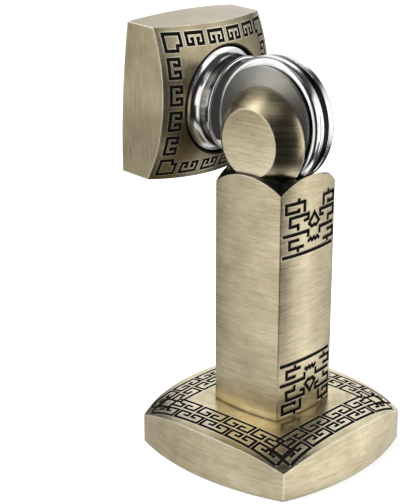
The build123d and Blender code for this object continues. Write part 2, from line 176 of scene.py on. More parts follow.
# %% [markdown]
# ## Stage
# The picture's background is plain white and shows no horizon, so a camera ray that meets the
# floor or the world finds white. Metal has no colour of its own to light up: it shows what stands
# round it. So the world that it sees is a photographer's studio, written as angles round the
# object: bright panels to the front left and the back right, dark grey walls, and a black gap
# behind the camera. That gap gives chrome its black lines and the dome its dark side. Azimuth is
# counted from -Y towards +X, in degrees.

# %% Angles and limits
def window(value, low, high, soft):
    """One between two limits, fading to none over a soft width outside them."""
    rising = ((value - (low - soft)) / soft).limit(0.0, 1.0)
    falling = (((high + soft) - value) / soft).limit(0.0, 1.0)
    return rising * falling


def slope(value, start, steepness, most=1.0):
    """None at the start and more beyond it, up to the most. A negative steepness rises backwards."""
    return ((value - start) * steepness).limit(0.0, most)


def azimuth_of(tree, vector):
    """The angle of a vector round Z, in degrees."""
    parts = Wire.node(tree, "ShaderNodeSeparateXYZ", values={0: vector}, output="X")
    return parts.maths("ARCTAN2", parts.also("Y") * -1.0) * math.degrees(1)


def kinds_of_ray(tree):
    """Three wires: one for a ray from the camera, one for a mirror ray, one for a ray through glass."""
    path = Wire.node(tree, "ShaderNodeLightPath", output="Is Camera Ray")
    return path, path.also("Is Glossy Ray"), path.also("Is Transmission Ray")


# %% World
WALL = 0.05
SOFT_LIGHT = 0.72
# azimuth low and high, elevation low and high, softness in degrees, brightness
PANELS = {
    "key": (-62, -24, 30, 56, 12, 2.3),
    "left wall": (-54, -14, -32, 20, 14, 0.82),
    "bright side": (-18, -8, -32, 20, 14, 1.15),
    "low key": (-58, -10, 6, 30, 8, 1.7),
    "far left": (-96, -70, -10, 60, 14, 0.4),
    "high key": (-26, 30, 50, 64, 8, 0.5),
    "right wall": (129.5, 144, -34, 28, 5, 1.8),
    "far right wall": (146, 168, -24, 28, 6, 0.85),
    "back wall": (-168, -130, -4, 60, 10, 1.2),
    "plate wall": (92, 118, 8, 34, 8, 1.75),
    "crown wall": (-150, -116, 38, 60, 10, 1.1),
    "beside the gap": (86, 98, -50, 8, 8, 0.25),
    "gap": (14, 72, -90, 46, 10, 0.01),
    "ceiling": (-180, 180, 80, 90, 12, 0.06)}
world = bpy.data.worlds.new("studio")
scene.world = world
tree = empty_tree(world)
direction = Wire.node(tree, "ShaderNodeTexCoord", output="Generated")
height = Wire.node(tree, "ShaderNodeSeparateXYZ", values={0: direction}, output="Z")
azimuth = azimuth_of(tree, direction)
elevation = height.maths("ARCSINE") * math.degrees(1)
studio = height * 0.0 + WALL
for low, high, bottom, top, soft, brightness in PANELS.values():
    panel = window(azimuth, low, high, soft) * window(elevation, bottom, top, soft)
    studio = studio + panel * (brightness - studio)
camera_ray, glossy_ray, glass_ray = kinds_of_ray(tree)
# A mirror ray meets the panels, any other ray one soft level, and the camera white.
level = Wire.node(tree, "ShaderNodeMix", {"data_type": "FLOAT"}, {
    "Factor": glossy_ray, "A": SOFT_LIGHT, "B": studio}, output=0)
level = level.maths("MAXIMUM", camera_ray.maths("MAXIMUM", glass_ray))
background = Wire.node(tree, "ShaderNodeBackground", values={"Color": level, "Strength": 1.0})
Wire.node(tree, "ShaderNodeOutputWorld", values={"Surface": background})
print("world:", len(PANELS), "panels,", len(tree.nodes), "nodes")

# %% [markdown]
# The floor is three things. To the camera it is white, with the object's shadow near the object
# and a glow further out, so that no horizon shows. To metal it is a sheet of paper near the base,
# which is lighter on its right and dark towards the camera. Beyond the paper metal looks through
# the floor into the studio. A curved backdrop would hide the horizon too, but chrome would mirror
# all of it as one pale band.

# %% Floor
FLOOR_REACH = 3.0
PAPER_RADIUS, PAPER_EDGE = 65 * MM, 10 * MM
floor_mesh = bpy.data.meshes.new("floor")
floor_mesh.from_pydata(
    [(x * FLOOR_REACH, y * FLOOR_REACH, 0) for x, y in ((-1, -1), (1, -1), (1, 1), (-1, 1))],
    [], [(0, 1, 2, 3)])
floor = bpy.data.objects.new("floor", floor_mesh)
scene.collection.objects.link(floor)
floor_finish = bpy.data.materials.new("floor_white")
tree = empty_tree(floor_finish)
spot = Wire.node(tree, "ShaderNodeTexCoord", output="Object")
distance = spot.vector("LENGTH", output="Value")
near = window(distance, -1.0, PAPER_RADIUS, PAPER_EDGE)
far = slope(distance, 0.12, 4.0)
across = Wire.node(tree, "ShaderNodeSeparateXYZ", values={0: spot}, output="X")
# The paper's brightness rises from left to right, and once more just right of the base.
sunny = slope(across, -25 * MM, 12.0) * 0.4 + 0.62
sunny = sunny + slope(across, 24 * MM, 40.0) * 0.45
towards_camera = window(azimuth_of(tree, spot), 34, 62, 8) * slope(distance, 52 * MM, 250.0)
sunny = sunny * (1.0 - towards_camera * 0.9)
camera_ray, glossy_ray, glass_ray = kinds_of_ray(tree)
plain = Wire.node(tree, "ShaderNodeBsdfDiffuse", values={"Color": (0.8, 0.8, 0.8, 1)}, output="BSDF")
glow = Wire.node(tree, "ShaderNodeEmission", values={
    "Color": (camera_ray + glass_ray) * (far * 0.66 + 0.34)}, output="Emission")
white = Wire.node(tree, "ShaderNodeAddShader", values={0: plain, 1: glow})
paper = Wire.node(tree, "ShaderNodeEmission", values={"Color": sunny}, output="Emission")
see_through = Wire.node(tree, "ShaderNodeBsdfTransparent", values={"Color": (1, 1, 1, 1)}, output="BSDF")
mirrored = Wire.node(tree, "ShaderNodeMixShader", values={0: near, 1: see_through, 2: paper})
shown = Wire.node(tree, "ShaderNodeMixShader", values={0: glossy_ray, 1: white, 2: mirrored})
Wire.node(tree, "ShaderNodeOutputMaterial", values={"Surface": shown})
floor_mesh.materials.append(floor_finish)
print("floor:", len(tree.nodes), "nodes")

# %% [markdown]
# Two square lamps, one in front and one behind, light rubber, nylon and the floor softly. They
# could be the whole lighting, but metal would mirror them as two hard squares. So a mirror ray
# doesn't meet them.

# %% Lamps
LAMP_AIM, LAMP_SIZE = Vector((0, 0, 0.05)), 0.4


def softbox(name, place, power):
    """A square lamp that faces the set. Metal sees the world's panels, not the lamps."""
    lamp_data = bpy.data.lights.new(name, "AREA")
    lamp_data.shape = "SQUARE"
    lamp_data.size = LAMP_SIZE
    lamp_data.energy = power
    lamp = bpy.data.objects.new(name, lamp_data)
    lamp.location = place
    lamp.rotation_euler = (Vector(place) - LAMP_AIM).to_track_quat("Z", "Y").to_euler()
    lamp.visible_glossy = False
    scene.collection.objects.link(lamp)


softbox("key_lamp", (-0.35, -0.45, 0.55), 4.0)
softbox("back_lamp", (0.4, 0.45, 0.45), 2.5)
print("two softboxes")

# %% [markdown]
# Two small cards stand beside the head, as a photographer would put them there. They give the
# bell and the cup their white streaks. No other ray than a mirror ray meets them.

# %% White cards
def white_card(name, corners, low, high, brightness):
    """An upright strip of card over a row of (x, y) corners, in millimetres. Only metal sees it."""
    count = len(corners)
    points = [(x * MM, y * MM, z * MM) for z in (low, high) for x, y in corners]
    mesh = bpy.data.meshes.new(name)
    mesh.from_pydata(points, [], [(k, k + 1, count + k + 1, count + k) for k in range(count - 1)])
    card = bpy.data.objects.new(name, mesh)
    scene.collection.objects.link(card)
    for ray in ("camera", "diffuse", "transmission", "volume_scatter", "shadow"):
        setattr(card, "visible_" + ray, False)
    finish = bpy.data.materials.new(name)
    tree = empty_tree(finish)
    glow = Wire.node(tree, "ShaderNodeEmission", values={"Strength": brightness}, output="Emission")
    Wire.node(tree, "ShaderNodeOutputMaterial", values={"Surface": glow})
    mesh.materials.append(finish)


white_card("card_for_the_bell", [(-62, -40), (-4, -46)], 84, 122, 1.2)
white_card("card_for_the_cup", [(21.5, -8.2), (27, -7.5), (34, -7), (36, 4)], 79, 106, 1.5)
print("two white cards")

# %% [markdown]
# ## Finishes
# Antique brass is brass that has been darkened, brushed bright again and lacquered. The brush
# leaves fine lines, so the colour and the shine change quickly across them and slowly along them.
# A noise texture on Object coordinates, stretched along the lines, gives both. Where the metal
# turns a corner the brush takes more of the dark skin away, so a Bevel node finds the edges; the
# near-white edge colour is partly that wear and partly a painted highlight. An occlusion node
# darkens corners and creases, partly as grime and partly as painted shade.

# %% Helpers for finishes
def new_finish(name):
    """A material with its node tree, its shader and the object's coordinates."""
    finish = bpy.data.materials.new(name)
    finish.use_nodes = True
    shader = finish.node_tree.nodes["Principled BSDF"]
    place = Wire.node(finish.node_tree, "ShaderNodeTexCoord", output="Object")
    return finish, finish.node_tree, shader, place


def stretched_noise(tree, place, scale, detail=3.0, roughness=0.6):
    """Noise with its own scale along each axis."""
    mapped = Wire.node(tree, "ShaderNodeMapping", values={"Vector": place, "Scale": scale})
    return Wire.node(tree, "ShaderNodeTexNoise", values={
        "Vector": mapped, "Scale": 1.0, "Detail": detail, "Roughness": roughness}, output="Fac")


def near_edge(tree, radius, gain):
    """One at an edge and none on a flat: how far a rounded normal turns from the real one."""
    rounded = Wire.node(tree, "ShaderNodeBevel", {"samples": 6}, {"Radius": radius})
    plain = Wire.node(tree, "ShaderNodeNewGeometry", output="Normal")
    return ((1.0 - rounded.vector("DOT_PRODUCT", plain, output="Value")) * gain).limit(0.0, 1.0)


def open_sky(tree, distance):
    """One in the open and less in a corner. It paints shade into corners and creases, and in brass also grime
    where the brush and the polish don't reach.
    """
    return Wire.node(tree, "ShaderNodeAmbientOcclusion", {"samples": 6}, {"Distance": distance}, output="AO")


def blend(tree, factor, first, second):
    """A colour between two colours."""
    return Wire.node(tree, "ShaderNodeMix", {"data_type": "RGBA"}, {
        "Factor": factor, "A": first, "B": second}, output=2)


def ramp(tree, value, *stops):
    """A value looked up in a row of (position, colour) stops."""
    return Wire.node(tree, "ShaderNodeValToRGB", {"stops": stops}, {"Fac": value})


def reopen(finish):
    """What a second layer on a finish starts from: tree, shader, coordinates and present colour."""
    tree = finish.node_tree
    shader = tree.nodes["Principled BSDF"]
    place = Wire.node(tree, "ShaderNodeTexCoord", output="Object")
    return tree, shader, place, Wire(tree, shader.inputs["Base Color"].links[0].from_socket)


# %% Tones of brass
# The dark, the middle and the light tone of each.
BRIGHT_BRASS = (0.29, 0.235, 0.14), (0.60, 0.515, 0.34), (0.86, 0.77, 0.55)
DULL_BRASS = (0.16, 0.13, 0.078), (0.345, 0.292, 0.19), (0.53, 0.465, 0.32)
BLACK_BRASS = (0.035, 0.033, 0.032), (0.06, 0.057, 0.055), (0.11, 0.10, 0.095)
WORN_AND_HIGHLIGHT, WORN_AND_HIGHLIGHT_BLACK = (1.0, 0.96, 0.82, 1), (0.3, 0.29, 0.27, 1)
GRIME_AND_SHADE = (0.085, 0.07, 0.035, 1)
OLIVE = (0.36, 0.335, 0.19, 1)
WORN_AND_HIGHLIGHT_WIDTH, GRIME_AND_SHADE_WIDTH, BRUSH_DEPTH = 0.7 * MM, 1.4 * MM, 0.05 * MM
CLOUDS = (90, 90, 90)
FACES_FRONT = -0.995
print("tones of brass:", BRIGHT_BRASS, DULL_BRASS, BLACK_BRASS)


# %% Brushed brass
def brushed_brass(name, across, tones=BRIGHT_BRASS, worn_and_highlight_to=WORN_AND_HIGHLIGHT, wear_and_highlight=1.0, shine=0.3, rounding=0.12,
                  painted_light_on_flat=None):
    """Antique brass whose brush lines are fine along the axes where across is large. Its edges get a
    colour that is partly wear and partly a painted highlight, and its corners painted shade and grime.
    A painted light gradient makes a flat that faces -Y lighter towards one side: its middle, and the
    change of tone for a metre."""
    finish, tree, shader, place = new_finish(name)
    lines = stretched_noise(tree, place, across, roughness=0.75)
    coarse = stretched_noise(tree, place, tuple(value * 0.4 for value in across), detail=2.0)
    clouds = stretched_noise(tree, place, CLOUDS)
    tone = lines * 0.45 + coarse * 0.2 + clouds * 0.35
    # Painted light: the flat that faces -Y is lighter towards one side.
    if painted_light_on_flat:
        middle, change = painted_light_on_flat
        facing = Wire.node(tree, "ShaderNodeNewGeometry", output="Normal")
        facing = Wire.node(tree, "ShaderNodeSeparateXYZ", values={0: facing}, output="Y")
        flat = facing.maths("LESS_THAN", FACES_FRONT)
        beside = place.vector("SUBTRACT", middle)
        tone = tone + flat * beside.vector("DOT_PRODUCT", change, output="Value")
    color = ramp(tree, tone.limit(0.0, 1.0), *zip((0.3, 0.5, 0.7), tones))
    aged = stretched_noise(tree, place, tuple(value ** 0.5 * 16 for value in across), detail=2.0)
    color = blend(tree, slope(aged, 0.48, 2.0, most=0.3), color, OLIVE)
    # Edges turn near white: partly real wear, partly a painted highlight.
    worn_and_highlight = near_edge(tree, WORN_AND_HIGHLIGHT_WIDTH, 10.0)
    color = blend(tree, worn_and_highlight * (clouds * 0.4 + 0.6) * wear_and_highlight, color, worn_and_highlight_to)
    # Painted shade and grime: corners and creases, found by occlusion, darken towards dark brown.
    color = blend(tree, slope(open_sky(tree, GRIME_AND_SHADE_WIDTH), 0.8, -2.6, most=0.9), color, GRIME_AND_SHADE)
    color.into(shader, "Base Color")
    shader.inputs["Metallic"].default_value = 1.0
    (coarse * 0.2 + (shine - 0.1)).into(shader, "Roughness")
    soft = Wire.node(tree, "ShaderNodeBevel", {"samples": 6}, {"Radius": rounding * MM})
    bump = Wire.node(tree, "ShaderNodeBump", values={
        "Height": lines, "Strength": 0.3, "Distance": BRUSH_DEPTH, "Normal": soft})
    bump.into(shader, "Normal")
    return finish


# %% Five brasses
brass_level = brushed_brass("antique_brass_level_brush", (150, 150, 7000))
brass_column = brushed_brass("antique_brass_column_brush", (150, 150, 7000), wear_and_highlight=0.45, rounding=0.6)
brass_upright = brushed_brass("antique_brass_upright_brush", (6000, 6000, 120), DULL_BRASS)
brass_round = brushed_brass("antique_brass_dome_brush", (110, 110, 6000), rounding=0.5,
                            painted_light_on_flat=((0.0, 0.0, 87.5 * MM), (7.0, 0.0, -20.0)))
brass_turned = brushed_brass("darkened_brass_turned", (700, 700, 4000), BLACK_BRASS, WORN_AND_HIGHLIGHT_BLACK, shine=0.2)
print("brass finishes:", [finish.name for finish in (
    brass_level, brass_column, brass_upright, brass_round, brass_turned)])

# %% [markdown]
# The other metals are plated, ground or blackened, and rubber, nylon and patina aren't metal at
# all. A flat colour for each would look like plastic, so a broad and a fine noise vary tone and
# shine a little.

# %% Plain finishes
FINE, BROAD = (4000, 4000, 4000), (180, 180, 180)


def plain_finish(name, color, roughness, metallic=1.0, grain=0.05):
    """A finish whose shine and tone vary a little with a fine grain."""
    finish, tree, shader, place = new_finish(name)
    fine = stretched_noise(tree, place, FINE)
    broad = stretched_noise(tree, place, BROAD, detail=2.0)
    darker = tuple(0.82 * value for value in color)
    ramp(tree, broad * 0.5 + fine * 0.5, (0.3, darker), (0.6, color)).into(shader, "Base Color")
    shader.inputs["Metallic"].default_value = metallic
    (fine * grain + (roughness - grain / 2)).into(shader, "Roughness")
    return finish


patina = plain_finish("black_patina", (0.010, 0.009, 0.007), 0.6, metallic=0.0)
patina.node_tree.nodes["Principled BSDF"].inputs["Specular IOR Level"].default_value = 0.1
chrome = plain_finish("polished_chrome", (0.86, 0.855, 0.85), 0.19, grain=0.02)
satin = plain_finish("satin_steel", (0.42, 0.415, 0.38), 0.25, grain=0.1)
zinc = plain_finish("zinc_plate", (0.6, 0.6, 0.62), 0.35)
screw = plain_finish("oiled_screw_steel", (0.25, 0.25, 0.26), 0.4)
wire_steel = plain_finish("spring_wire", (0.45, 0.45, 0.47), 0.3)
blackened = plain_finish("blackened_steel", (0.02, 0.02, 0.02), 0.45, metallic=0.5)
ferrite = plain_finish("ferrite", (0.06, 0.06, 0.065), 0.6, metallic=0.3)
rubber = plain_finish("black_rubber", (0.012, 0.012, 0.012), 0.7, metallic=0.0)
nylon = plain_finish("black_nylon", (0.02, 0.02, 0.02), 0.45, metallic=0.0)
print("plain finishes:", [finish.name for finish in (
    patina, chrome, satin, zinc, screw, wire_steel, blackened, ferrite, rubber, nylon)])

# %% [markdown]
# Three finishes get a second layer. The grey disc has turned rings round the head's axis, and
# painted shade where the dome shades it and on its left and right, where a turned face's sheen is
# dark. The cup has a band of painted shade near its back edge, where there is a dark gap, and the
# door plate has a dark line round its well. Each could be a thin piece of its own, but it is drawn
# in the material, by the distance from an axis.

# %% Turned grey face
HEAD_AXIS_HEIGHT = 90.9 * MM
SHADED_WIDTH = 5.0 * MM
RINGS_PER_METRE, RING_DEPTH = 30000.0, 0.021 * MM
tree, shader, place, color = reopen(satin)
from_axis = place.vector("MULTIPLY_ADD", (1, 0, 1), (0, 0, -HEAD_AXIS_HEIGHT))
radius = from_axis.vector("LENGTH", output="Value")
rings = (radius * RINGS_PER_METRE).maths("SINE")
bump = Wire.node(tree, "ShaderNodeBump", values={"Height": rings, "Strength": 1.0, "Distance": RING_DEPTH})
bump.into(shader, "Normal")
shaded = slope(open_sky(tree, SHADED_WIDTH), 0.85, -2.4)
color = blend(tree, shaded, color, (0.01, 0.009, 0.008, 1))
# Painted shade on the disc's left and right, where a turned face's sheen is dark.
painted_shade_sideways = Wire.node(tree, "ShaderNodeSeparateXYZ", values={0: from_axis}, output="X")
painted_shade_sideways = (painted_shade_sideways / radius).maths("ABSOLUTE")
color = blend(tree, slope(painted_shade_sideways, 0.5, 1.6, most=0.6), color, (0.04, 0.037, 0.032, 1))
color.into(shader, "Base Color")
print("rings turned on", satin.name)

# %% Chrome cup with a band of painted shade
SHADE_BAND_FROM = -2.0 * MM
cup_chrome = chrome.copy()
cup_chrome.name = "polished_chrome_with_black_band"
tree, shader, place, color = reopen(cup_chrome)
along = Wire.node(tree, "ShaderNodeSeparateXYZ", values={0: place}, output="Y")
# Painted shade: near black beyond the band's start, where there is a dark gap at the cup's back edge.
color = blend(tree, along.maths("GREATER_THAN", SHADE_BAND_FROM), color, (0.006, 0.006, 0.006, 1))
color.into(shader, "Base Color")
print("band on", cup_chrome.name)

# %% Dark line round the well
LEAN = math.radians(4.1)
DOOR_CENTRE = Vector((-41.05, 6.3, 93.0))
LINE_RADIUS, LINE_FROM = 15.5 * MM, 7.0 * MM
out_of_door = Vector((math.cos(LEAN), 0, -math.sin(LEAN)))
tree, shader, place, color = reopen(brass_upright)
from_door = place.vector("SUBTRACT", DOOR_CENTRE * MM)
ahead = from_door.vector("DOT_PRODUCT", out_of_door, output="Value")
beside = from_door.vector("CROSS_PRODUCT", out_of_door).vector("LENGTH", output="Value")
line = ahead.maths("GREATER_THAN", LINE_FROM) * slope(beside, LINE_RADIUS, -5000.0)
color = blend(tree, line, color, (0.012, 0.010, 0.008, 1))
color.into(shader, "Base Color")
print("dark line on", brass_upright.name)

# %% [markdown]
# The record names a material slot for each solid, and the slot picks the finish. A few solids
# look different from the others in their slot, and have a finish of their own.

# %% One finish for each solid
FINISHES = {
    "antique_brass": brass_level, "polished_chrome": chrome, "satin_steel": satin, "zinc_steel": zinc,
    "screw_steel": screw, "spring_steel": wire_steel, "ferrite": ferrite, "black_rubber": rubber,
    "black_nylon": nylon}
OWN_FINISHES = {"head_ball": brass_round, "magnet_cup": cup_chrome, "striker_face": blackened,
                "striker_bolt": blackened}
for part in frame["record"]["subparts"]:
    finish = OWN_FINISHES.get(part["node"], FINISHES[part["material_slot"]])
    for slot in frame["nodes"][part["node"]].material_slots:
        slot.material = finish

# %% [markdown]
# ## The fret as lines
# The border is a Greek key: one bent groove that is repeated along each side. Each key is drawn
# once, as the middle line of its groove. A line's point is wider where the line bends, because a
# groove's walls meet at a mitre there, and a long line is cut into short steps, so that it can
# follow a surface that isn't flat.

# %% Lines
STEP = 0.6
HOOK_HEIGHT = 0.53


def key_line(half, inner, hook, bar, feet):
    """The middle line of one key: a bar, two sides, two feet and two hooks, in millimetres."""
    bend = bar + HOOK_HEIGHT * (feet - bar)
    return [(-hook, bend), (-inner, bend), (-inner, feet), (-half, feet), (-half, bar),
            (half, bar), (half, feet), (inner, feet), (inner, bend), (hook, bend)]


def line_mesh(name, lines, layer=None):
    """Lines as a mesh of edges in the XY plane, with the groove's relative width at each point.
    A line that ends where it starts is closed."""
    points, edges, widths = [], [], []
    for line in lines:
        closed = line[0] == line[-1]
        line = [Vector((*point, 0)) for point in (line[:-1] if closed else line)]
        first = len(points)
        for index, here in enumerate(line):
            at_end = not closed and index in (0, len(line) - 1)
            before, after = line[index - 1], line[(index + 1) % len(line)]
            turn = 0.0 if at_end else (here - before).angle(after - here)
            points.append(here * MM)
            widths.append(1.0 / math.cos(turn / 2))
            if not closed and index == len(line) - 1:
                break
            parts = max(1, math.ceil((after - here).length / STEP))
            for part in range(1, parts):
                points.append(here.lerp(after, part / parts) * MM)
                widths.append(1.0)
        last = len(points) - 1
        edges += [(index, index + 1) for index in range(first, last)]
        if closed:
            edges.append((last, first))
    mesh = bpy.data.meshes.new(name)
    mesh.from_pydata(points, edges, [])
    mesh.attributes.new("width", "FLOAT", "POINT").data.foreach_set("value", widths)
    if layer is not None:
        mesh.attributes.new("layer", "INT", "POINT").data.foreach_set("value", [layer] * len(points))
    return mesh


# %% [markdown]
# ## Two Geometry Nodes trees
# The first tree repeats one key along a side, and the side four times round the middle. The
# second is the engraver: it sweeps a groove's section along the lines, lays the result on the
# solid's surface by ray casts and takes it away from the solid. Grooves that cross are in three
# layers, because a cutter must not run through itself.

# %% Trees with named inputs
def new_tree(name, inputs):
    """A Geometry Nodes tree with named inputs. Returns the tree and one wire for each input."""
    tree = bpy.data.node_groups.new(name, "GeometryNodeTree")
    for title, kind in inputs.items():
        tree.interface.new_socket(title, in_out="INPUT", socket_type="NodeSocket" + kind)
    tree.interface.new_socket("Geometry", in_out="OUTPUT", socket_type="NodeSocketGeometry")
    entry = tree.nodes.new("NodeGroupInput")
    return tree, {title: Wire(tree, entry.outputs[title]) for title in inputs}


def run_tree(name, mesh, tree, values):
    """Put a mesh through a tree and return the result as a plain mesh."""
    carrier = bpy.data.objects.new(name, mesh)
    scene.collection.objects.link(carrier)
    modifier = carrier.modifiers.new("tree", "NODES")
    modifier.node_group = tree
    for item in tree.interface.items_tree:
        if item.in_out == "INPUT" and item.name in values:
            modifier[item.identifier] = values[item.name]
    bpy.context.view_layer.update()
    graph = bpy.context.evaluated_depsgraph_get()
    made = bpy.data.meshes.new_from_object(
        carrier.evaluated_get(graph), preserve_all_data_layers=True, depsgraph=graph)
    bpy.data.objects.remove(carrier)
    made.name = name
    return made


# %% Keys on four sides
tree, given = new_tree("keys_on_four_sides", {"Geometry": "Geometry", "Count": "Int", "Spacing": "Float"})
start = Wire.node(tree, "ShaderNodeCombineXYZ", values={
    "X": (given["Count"] - 1.0) * given["Spacing"] * -0.5})
offset = Wire.node(tree, "ShaderNodeCombineXYZ", values={"X": given["Spacing"]})
row = Wire.node(tree, "GeometryNodeMeshLine", values={
    "Count": given["Count"], "Start Location": start, "Offset": offset})
side = Wire.node(tree, "GeometryNodeInstanceOnPoints", values={"Points": row, "Instance": given["Geometry"]})
number = Wire.node(tree, "GeometryNodeInputIndex")
quarter = Wire.node(tree, "ShaderNodeCombineXYZ", values={"Z": number * (math.pi / 2)})
middle = Wire.node(tree, "GeometryNodeMeshLine", values={"Count": 4, "Offset": (0, 0, 0)})
sides = Wire.node(tree, "GeometryNodeInstanceOnPoints", values={
    "Points": middle, "Instance": side,
    "Rotation": Wire.node(tree, "FunctionNodeEulerToRotation", values={"Euler": quarter})})
sides = Wire.node(tree, "GeometryNodeStoreNamedAttribute", {"data_type": "INT", "domain": "INSTANCE"}, {
    "Geometry": sides, "Name": "layer", "Value": number.maths("MODULO", 2.0)})
sides = Wire.node(tree, "GeometryNodeRealizeInstances", values={"Geometry": sides})
Wire.node(tree, "NodeGroupOutput", values={"Geometry": sides})
four_sides = tree
print(four_sides.name, len(tree.nodes), "nodes")

# %% Engraver: the cutter
tree, given = new_tree("engraver", {
    "Geometry": "Geometry", "Solid": "Object", "Place": "Vector", "Turn": "Rotation", "Width": "Float",
    "Floor width": "Float", "Depth": "Float", "Metal": "Material", "Patina": "Material"})
engraver = tree
lines = Wire.node(tree, "GeometryNodeMeshToCurve", values={"Mesh": given["Geometry"]})
lines = Wire.node(tree, "GeometryNodeSetCurveNormal", {"mode": "Z_UP"}, {"Curve": lines})
section = Wire.node(tree, "GeometryNodeCurvePrimitiveQuadrilateral", {"mode": "TRAPEZOID"}, {
    "Height": given["Depth"] * 2.0, "Bottom Width": given["Width"] * 2.0 - given["Floor width"],
    "Top Width": given["Floor width"], "Offset": 0.0})
position = Wire.node(tree, "GeometryNodeInputPosition")
rise = Wire.node(tree, "ShaderNodeSeparateXYZ", values={0: position}, output="Y") * -1.0
section = Wire.node(tree, "GeometryNodeStoreNamedAttribute", {"data_type": "FLOAT", "domain": "POINT"}, {
    "Geometry": section, "Name": "rise", "Value": rise})
width = Wire.node(tree, "GeometryNodeInputNamedAttribute", {"data_type": "FLOAT"}, {"Name": "width"})
cutter = Wire.node(tree, "GeometryNodeCurveToMesh", values={
    "Curve": lines, "Profile Curve": section, "Scale": width, "Fill Caps": True})
cutter = Wire.node(tree, "GeometryNodeSetPosition", values={
    "Geometry": cutter, "Position": position.vector("MULTIPLY", (1.0, 1.0, 0.0))})
cutter = Wire.node(tree, "GeometryNodeTransform", values={
    "Geometry": cutter, "Translation": given["Place"], "Rotation": given["Turn"]})
print("the cutter takes", len(tree.nodes), "nodes")

# %% Engraver: onto the surface
SAME_POINT, RAY_START, RAY_LENGTH = 0.001 * MM, 10 * MM, 20 * MM
solid = Wire.node(tree, "GeometryNodeObjectInfo", {"transform_space": "ORIGINAL"}, {
    "Object": given["Solid"]}, output="Geometry")
solid = Wire.node(tree, "GeometryNodeMergeByDistance", values={"Geometry": solid, "Distance": SAME_POINT})
outward = Wire.node(tree, "FunctionNodeRotateVector", values={"Vector": (0, 0, 1), "Rotation": given["Turn"]})
ray = Wire.node(tree, "GeometryNodeRaycast", values={
    "Target Geometry": solid, "Ray Length": RAY_LENGTH, "Ray Direction": outward.vector("SCALE", Scale=-1.0),
    "Source Position": outward.vector("MULTIPLY_ADD", (RAY_START,) * 3, position)}, output="Is Hit")
surface = Wire.node(tree, "GeometryNodeSwitch", {"input_type": "VECTOR"}, {
    "Switch": ray, "False": position, "True": ray.also("Hit Position")})
rise = Wire.node(tree, "GeometryNodeInputNamedAttribute", {"data_type": "FLOAT"}, {"Name": "rise"})
cutter = Wire.node(tree, "GeometryNodeSetPosition", values={
    "Geometry": cutter, "Position": surface, "Offset": outward.vector("SCALE", Scale=rise)})
cutter = Wire.node(tree, "GeometryNodeStoreNamedAttribute", {"data_type": "BOOLEAN", "domain": "FACE"}, {
    "Geometry": cutter, "Name": "engraved", "Value": True})
print("laid on the surface with", len(tree.nodes), "nodes")

# %% Engraver: the cut
LAYERS = 3
layer = Wire.node(tree, "GeometryNodeInputNamedAttribute", {"data_type": "INT"}, {"Name": "layer"})
cutters = []
for wanted in range(LAYERS):
    same = Wire.node(tree, "FunctionNodeCompare", {"data_type": "INT", "operation": "EQUAL"}, {
        2: layer, 3: wanted})
    cutters.append(Wire.node(tree, "GeometryNodeSeparateGeometry", {"domain": "POINT"}, {
        "Geometry": cutter, "Selection": same}))
cut = Wire.node(tree, "GeometryNodeMeshBoolean", {"operation": "DIFFERENCE", "solver": "MANIFOLD"}, {
    "Mesh 1": solid, "Mesh 2": cutters})
engraved = Wire.node(tree, "GeometryNodeInputNamedAttribute", {"data_type": "BOOLEAN"}, {"Name": "engraved"})
cut = Wire.node(tree, "GeometryNodeRealizeInstances", values={"Geometry": cut})
cut = Wire.node(tree, "GeometryNodeSetMaterial", values={"Geometry": cut, "Material": given["Metal"]})
cut = Wire.node(tree, "GeometryNodeSetMaterial", values={
    "Geometry": cut, "Selection": engraved, "Material": given["Patina"]})
Wire.node(tree, "NodeGroupOutput", values={"Geometry": cut})
print(engraver.name, len(tree.nodes), "nodes")

# %% [markdown]
# ## Smooth shading after a cut
# The cut leaves long thin triangles, and normals averaged from them would show as dents in
# polished metal. The CAD mesh still knows the true normals of its surfaces, so every corner of an
# uncut face takes the normal of the nearest point on that mesh. A groove's own faces stay flat.

# %% Normals from the CAD mesh
INWARDS = 0.02
SAME_SIDE = 0.8


def true_normals(mesh, node):
    """Give the uncut faces of a mesh the normals of the CAD node that it was cut from."""
    source = node.data
    points = [vertex.co for vertex in source.vertices]
    faces = [tuple(face.vertices) for face in source.polygons]
    corner_normals = [source.corner_normals[loop].vector.copy() for loop in range(len(source.loops))]
    tree = BVHTree.FromPolygons(points, faces)
    cut_faces = mesh.attributes["engraved"].data
    normals = [Vector((0, 0, 1))] * len(mesh.loops)
    for face in mesh.polygons:
        own = face.normal.copy()
        for loop in face.loop_indices:
            normals[loop] = own
            if cut_faces[face.index].value:
                continue
            corner = mesh.vertices[mesh.loops[loop].vertex_index].co
            inside = corner.lerp(face.center, INWARDS)
            spot, _, index, _ = tree.find_nearest(inside)
            start = source.polygons[index].loop_start
            weights = poly_3d_calc([points[vertex] for vertex in faces[index]], spot)
            smooth = sum((corner_normals[start + k] * weight for k, weight in enumerate(weights)), Vector())
            if smooth.normalized().dot(own) > SAME_SIDE:
                normals[loop] = smooth.normalized()
    for face in mesh.polygons:
        face.use_smooth = True
    mesh.normals_split_custom_set(normals)


